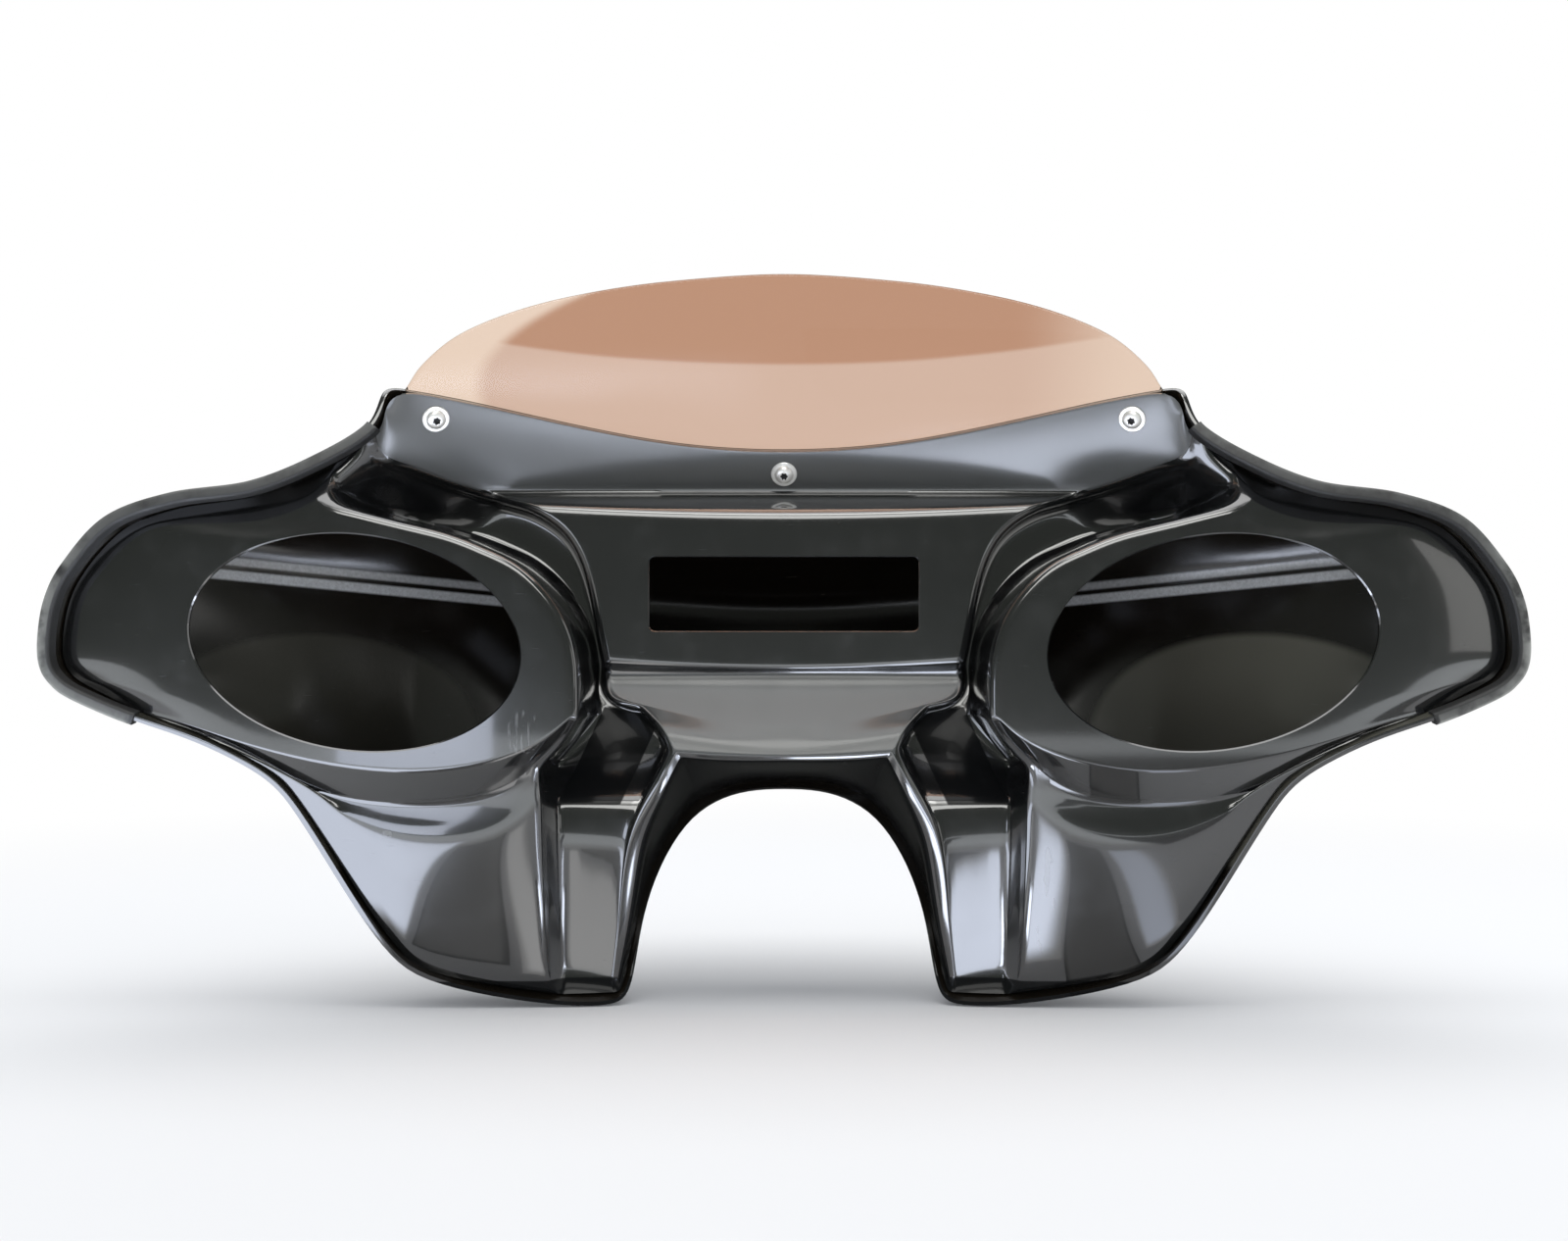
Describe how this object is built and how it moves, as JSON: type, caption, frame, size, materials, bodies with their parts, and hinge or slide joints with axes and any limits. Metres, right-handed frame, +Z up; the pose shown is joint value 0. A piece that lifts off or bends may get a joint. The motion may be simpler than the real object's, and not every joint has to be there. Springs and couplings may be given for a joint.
{
  "type": "motorcycle fairing",
  "caption": "Gloss black fibreglass batwing fairing for a motorcycle, seen from the rider's side, with an inner fairing that has a radio opening and two oval speaker openings, and a short tinted windshield.",
  "frame": {"origin": "on the dash face, on the centre line, midway between the radio opening and the face's lower edge", "axes": "+X to the rider's right, +Y forward, away from the rider, +Z up"},
  "size_m": [0.9474, 0.217, 0.4855],
  "materials": {
    "gloss_black": "gloss black gel coat",
    "tinted_acrylic": "clear, light bronze tint",
    "steel": "polished",
    "rubber": "matt black"
  },
  "bodies": {
    "root": {"outer_shell": "gloss_black", "inner_fairing": "gloss_black", "windshield": "tinted_acrylic", "windshield_screws": "steel", "windshield_washers": "steel", "windshield_nuts": "steel", "edge_trim_left": "rubber", "edge_trim_right": "rubber"}
  },
  "joints": []
}
